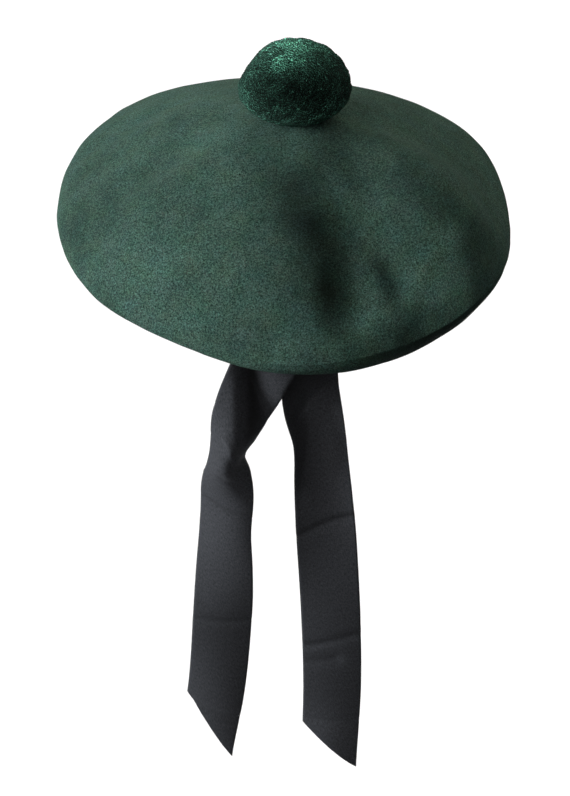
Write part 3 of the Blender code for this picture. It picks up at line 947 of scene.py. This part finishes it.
def strand_frames(tips, lean, pile, chance):
    """A frame for each strand, with its cut end at the tip, and with a chance turn and width."""
    turn = chance.uniform(0, 2 * math.pi, len(tips))
    side = unit(np.cross(lean, ASLANT))
    other = np.cross(lean, side)
    swung = side * np.cos(turn)[:, None] + other * np.sin(turn)[:, None]
    thick = chance.uniform(*STRAND_WIDTHS, len(tips))[:, None]
    frames = np.zeros((len(tips), 4, 4))
    frames[:, :3, 0] = swung * thick
    frames[:, :3, 1] = np.cross(lean, swung) * thick
    frames[:, :3, 2] = lean
    frames[:, :3, 3] = tips - lean * pile
    frames[:, 3, 3] = 1
    return frames


def strand_shades(rise, locks, chance):
    """How light each strand is: by chance, by painted light and shade for the rise of its aim, with
    painted glints, and by its lock.
    """
    tones_and_painted_light = chance.uniform(*STRAND_SHADES, len(rise)) * np.interp(rise, *PAINTED_LIGHT_BY_RISE)
    tones_and_painted_light[chance.uniform(0, 1, len(rise)) < LIGHT_FLECKS] *= FLECK_SHADE
    return tones_and_painted_light * chance.uniform(*LOCK_SHADES, LOCKS)[locks]


def felt_under(place):
    """The height of the crown's felt under a place, near enough for yarn beside the seat."""
    aside = place[0] - seat_x
    bearing = math.degrees(math.atan2(place[1], aside)) % 360
    reach = around("reach", bearing) * crown_reach
    off_seat = math.hypot(place[1], aside) - seat_radius
    return crown_point(max(off_seat, 0) / (reach - seat_radius), bearing).z


def make_toorie(yarn):
    """A core painted dark as shade, under thousands of cut yarn ends gathered in soft locks and trimmed
    to a ball.
    """
    centre = np.array([seat_x, 0, crown_height + pompom_belly - lock_stand - pompom_sink])
    chance = np.random.default_rng(yarn.seed)
    aims = golden_aims(yarn.ends)
    aims = unit(aims + chance.normal(0, PLACE_SCATTER, aims.shape))
    locks = golden_aims(LOCKS)
    nearness = aims @ locks.T
    nearest = nearness.argmax(1)
    # 0 at the middle of a lock and 1 at its edge
    off_lock = np.arccos(np.clip(nearness.max(1), -1, 1)) / math.sqrt(4 * math.pi / LOCKS) * 2
    trim = -lock_stand * LOCK_TRIM * np.clip(off_lock, 0, 1) ** 2
    trim -= chance.uniform(0, TRIM_SCATTER, yarn.ends)
    half = half_sizes(aims)
    tips = centre + aims * (half + trim[:, None]) * trimmed(aims)
    lean = unit(aims / half) + LOCK_LEAN * (aims - locks[nearest])
    lean = unit(lean + chance.normal(0, LEAN_SCATTER, aims.shape))
    low = tips[:, 2] < crown_height + seat_gap
    kept = ~low
    kept[low] = [place[2] > felt_under(place) + seat_gap for place in tips[low]]
    frames = strand_frames(tips[kept], lean[kept], yarn.pile, chance)
    tones_and_painted_light = strand_shades(aims[kept][:, 2], nearest[kept], chance)
    pattern = yarn_end(yarn.width, yarn.pile)
    heights = np.array([vert.co.z for vert in pattern.verts]) / yarn.pile
    # shade holds each strand's chance and lock tones, with painted light and shade by rise and painted
    # glints
    values = {
        "rise": np.tile(heights, len(frames)),
        "shade": np.repeat(tones_and_painted_light, len(heights)),
    }
    pile = joined_copies("cut_pile_toorie", pattern, frames, values)
    pattern.free()
    build = toorie_core(centre, CORE_DEPTH * yarn.pile)
    build.from_mesh(pile)
    look = make_cut_yarn("cut green wool yarn", yarn.colour)
    toorie = finish_piece(build, "cut_pile_toorie", look, sharp=180)
    bpy.data.meshes.remove(pile)
    return toorie


def place_camera(scene):
    """The photograph's camera, behind the wearer and above."""
    eye = bpy.data.cameras.new("camera")
    eye.sensor_width = SENSOR
    eye.lens = FOCAL_PIXELS / IMAGE_HEIGHT * SENSOR
    eye.shift_x = SHIFT_PIXELS[0] / IMAGE_HEIGHT
    eye.shift_y = SHIFT_PIXELS[1] / IMAGE_HEIGHT
    eye.clip_start = 0.1
    eye.clip_end = 200
    camera = bpy.data.objects.new("camera", eye)
    scene.collection.objects.link(camera)
    back = Vector((0, -math.cos(CAMERA_RISE), math.sin(CAMERA_RISE)))
    camera.location = CAMERA_AIM + CAMERA_DISTANCE * back
    camera.rotation_euler = (math.pi / 2 - CAMERA_RISE, 0, 0)
    scene.camera = camera
    scene.view_settings.view_transform = "Standard"


def make_floor(level):
    """A plain white floor, which throws no light up on the bonnet."""
    build = bmesh.new()
    bmesh.ops.create_circle(build, cap_ends=True, segments=STAGE_SIDES, radius=FLOOR_REACH)
    bmesh.ops.translate(build, verts=build.verts, vec=(0, 0, level))
    floor = finish_piece(build, "studio_floor", make_studio_paper("matt white paper"))
    floor.visible_diffuse = False


def make_backdrop(level):
    """A lit wall that shows behind the bonnet in low views, and adds no light and no shade."""
    build = bmesh.new()
    bmesh.ops.create_circle(build, segments=STAGE_SIDES, radius=BACKDROP_REACH)
    sides = bmesh.ops.extrude_edge_only(build, edges=build.edges[:])["geom"]
    top = [item for item in sides if isinstance(item, bmesh.types.BMVert)]
    bmesh.ops.translate(build, verts=top, vec=(0, 0, BACKDROP_HEIGHT))
    bmesh.ops.translate(build, verts=build.verts, vec=(0, 0, level))
    bmesh.ops.recalc_face_normals(build, faces=build.faces)
    bmesh.ops.reverse_faces(build, faces=build.faces)
    backdrop = finish_piece(build, "studio_backdrop", make_lit_backdrop("lit white backdrop"))
    backdrop.visible_diffuse = False
    backdrop.visible_glossy = False
    backdrop.visible_shadow = False


def place_lamps(scene, key_strength):
    """The soft lights of the table, each from its bearing and rise."""
    for row in LIGHT_ROWS:
        light = dict(zip(LIGHT_COLUMNS, row))
        glow = bpy.data.lights.new(light["name"], "SUN")
        glow.energy = light["share"] * key_strength
        glow.angle = math.radians(light["softness"])
        glow.color = hex_colour(light["colour"])
        lamp = bpy.data.objects.new(light["name"], glow)
        scene.collection.objects.link(lamp)
        rise, bearing = math.radians(light["rise"]), math.radians(light["bearing"])
        lamp.rotation_euler = (math.pi / 2 - rise, 0, bearing + math.pi / 2)


def light_room(scene, strength):
    """Even light from above: full from a rise of 30 degrees up, and faint at the level and below."""
    world = bpy.data.worlds.new("room")
    scene.world = world
    world.use_nodes = True
    tree = world.node_tree
    sky = tree.nodes["Background"]
    way = add_node(tree, "ShaderNodeTexCoord").outputs["Generated"]
    up = add_node(tree, "ShaderNodeSeparateXYZ", {"Vector": way}).outputs["Z"]
    above = add_node(
        tree, "ShaderNodeMapRange",
        {"Value": up, "From Min": 0, "From Max": 0.5, "To Min": 0.04, "To Max": 1},
    ).outputs[0]
    tone = add_node(tree, "ShaderNodeValToRGB", {"Fac": above})
    tone.color_ramp.elements[0].color = (0, 0, 0, 1)
    tone.color_ramp.elements[1].color = (1, 1, 0.95, 1)
    tree.links.new(tone.outputs["Color"], sky.inputs["Color"])
    sky.inputs["Strength"].default_value = strength


def colour_setting(name, description, default):
    """A colour that the user can change. Its default is six sRGB hex digits."""
    return bpy.props.FloatVectorProperty(
        name=name,
        description=description,
        subtype="COLOR",
        size=3,
        min=0,
        max=1,
        default=hex_colour(default),
    )


def length_setting(name, description, least, most, default):
    """A length in metres that the user can change."""
    return bpy.props.FloatProperty(
        name=name,
        description=description,
        subtype="DISTANCE",
        unit="LENGTH",
        min=least,
        max=most,
        default=default,
    )


class BonnetFelt(bpy.types.PropertyGroup):
    """Sizes and colours of the felt."""

    colour: colour_setting("Felt colour", "Colour of the crown's felt", default="2E433C")
    band_colour: colour_setting(
        "Headband colour", "Colour of the headband's felt", default="2B3E37"
    )
    lumps: length_setting(
        "Unevenness",
        "How far the blocked felt rises and falls",
        least=0,
        most=2 * MM,
        default=0.6 * MM,
    )


class BonnetYarn(bpy.types.PropertyGroup):
    """Sizes and colour of the toorie's yarn."""

    colour: colour_setting("Yarn colour", "Colour of the toorie's yarn", default="33574B")
    ends: bpy.props.IntProperty(
        name="Yarn ends",
        description="Cut ends all over the ball",
        min=500,
        max=22000,
        default=20000,
    )
    width: length_setting(
        "Yarn width",
        "Width of one strand at its cut end",
        least=0.5 * MM,
        most=3 * MM,
        default=1.25 * MM,
    )
    pile: length_setting(
        "Pile",
        "Length of strand that stands over the core",
        least=2 * MM,
        most=12 * MM,
        default=7 * MM,
    )
    seed: bpy.props.IntProperty(
        name="Seed",
        description="Start of the random lean of the strands",
        min=0,
        default=7,
    )


class BonnetRibbon(bpy.types.PropertyGroup):
    """Colour of the ribbon."""

    colour: colour_setting("Ribbon colour", "Colour of the woven ribbon", default="2D2E32")


class BonnetStage(bpy.types.PropertyGroup):
    """Floor and lights."""

    floor_drop: length_setting(
        "Floor drop",
        "Distance from the tails' tips down to the floor",
        least=0.01,
        most=3,
        default=0.7,
    )
    key_strength: bpy.props.FloatProperty(
        name="Key light",
        description="Strength of the soft light from the left",
        min=0,
        max=50,
        default=6.3,
    )
    sky_strength: bpy.props.FloatProperty(
        name="Room light",
        description="Strength of the even light from above",
        min=0,
        max=10,
        default=0.3,
    )


class BONNET_OT_crown(bpy.types.Operator):
    """Makes the felt crown"""

    bl_idname = "bonnet.crown"
    bl_label = "Felt crown"

    def execute(self, context):
        dress(make_crown(context.scene.bonnet_felt), "crown")
        return {"FINISHED"}


class BONNET_OT_headband(bpy.types.Operator):
    """Makes the felt headband round the head opening"""

    bl_idname = "bonnet.headband"
    bl_label = "Headband"

    def execute(self, context):
        look = make_wool_felt("green wool felt band", context.scene.bonnet_felt.band_colour)
        band = make_oval_band(
            "felt_headband", look, inner=0, thickness=band_felt, low=0, high=band_height
        )
        dress(band, "headband")
        return {"FINISHED"}


class BONNET_OT_ribbons(bpy.types.Operator):
    """Makes the ribbon round the headband and its two tails"""

    bl_idname = "bonnet.ribbons"
    bl_label = "Ribbon and tails"

    def execute(self, context):
        look = make_woven_ribbon("black woven ribbon", context.scene.bonnet_ribbon.colour)
        inner = band_felt + seat_gap
        top = band_margin + ribbon_width
        band = make_oval_band("woven_ribbon_band", look, inner, ribbon_thick, band_margin, top)
        dress(band, "ribbon_band")
        left = make_tail(
            "woven_tail_left", look, LEFT_TAIL_ROWS, LEFT_CREASES, LEFT_PAINTED_LIGHT_AND_SHADE, left_length,
            left_cut, layer=1,
        )
        dress(left, "ribbon_tail_left")
        right = make_tail(
            "woven_tail_right", look, RIGHT_TAIL_ROWS, RIGHT_CREASES, RIGHT_PAINTED_LIGHT_AND_SHADE, right_length,
            right_cut, layer=0,
        )
        dress(right, "ribbon_tail_right")
        return {"FINISHED"}


class BONNET_OT_toorie(bpy.types.Operator):
    """Makes the cut-pile toorie on top of the crown"""

    bl_idname = "bonnet.toorie"
    bl_label = "Toorie"

    def execute(self, context):
        dress(make_toorie(context.scene.bonnet_yarn), "toorie")
        return {"FINISHED"}


class BONNET_OT_stage(bpy.types.Operator):
    """Makes the camera, the floor and the lights"""

    bl_idname = "bonnet.stage"
    bl_label = "Stage"

    def execute(self, context):
        stage = context.scene.bonnet_stage
        level = CAD_BOX[0][2] - stage.floor_drop
        place_camera(context.scene)
        make_floor(level)
        make_backdrop(level)
        place_lamps(context.scene, stage.key_strength)
        light_room(context.scene, stage.sky_strength)
        return {"FINISHED"}


class BONNET_PT_parts(bpy.types.Panel):
    """Lists what makes the bonnet, with its sizes and colours"""

    bl_label = "Balmoral Bonnet"
    bl_idname = "BONNET_PT_parts"
    bl_space_type = "VIEW_3D"
    bl_region_type = "UI"
    bl_category = "Bonnet"

    def draw(self, context):
        scene = context.scene
        for settings, names, operators in PANEL_ROWS:
            group = self.layout.box()
            for name in names:
                group.prop(getattr(scene, settings), name)
            for operator in operators:
                group.operator(operator)


PANEL_ROWS = (
    ("bonnet_felt", ("colour", "band_colour", "lumps"), ("bonnet.crown", "bonnet.headband")),
    ("bonnet_yarn", ("colour", "ends", "width", "pile", "seed"), ("bonnet.toorie",)),
    ("bonnet_ribbon", ("colour",), ("bonnet.ribbons",)),
    ("bonnet_stage", ("floor_drop", "key_strength", "sky_strength"), ("bonnet.stage",)),
)

SETTINGS = {
    "bonnet_felt": BonnetFelt,
    "bonnet_yarn": BonnetYarn,
    "bonnet_ribbon": BonnetRibbon,
    "bonnet_stage": BonnetStage,
}
CLASSES = (
    *SETTINGS.values(),
    BONNET_OT_crown,
    BONNET_OT_headband,
    BONNET_OT_ribbons,
    BONNET_OT_toorie,
    BONNET_OT_stage,
    BONNET_PT_parts,
)


def register():
    """Makes the operators, the panel and the settings known to Blender."""
    for made in CLASSES:
        bpy.utils.register_class(made)
    for name, settings in SETTINGS.items():
        setattr(bpy.types.Scene, name, bpy.props.PointerProperty(type=settings))


def unregister():
    """Takes them away again."""
    for name in SETTINGS:
        delattr(bpy.types.Scene, name)
    for made in reversed(CLASSES):
        bpy.utils.unregister_class(made)


def main():
    """Makes the stage and the bonnet."""
    register()
    bpy.ops.bonnet.stage()
    bpy.ops.bonnet.crown()
    bpy.ops.bonnet.headband()
    bpy.ops.bonnet.ribbons()
    bpy.ops.bonnet.toorie()


if __name__ == "__main__":
    main()
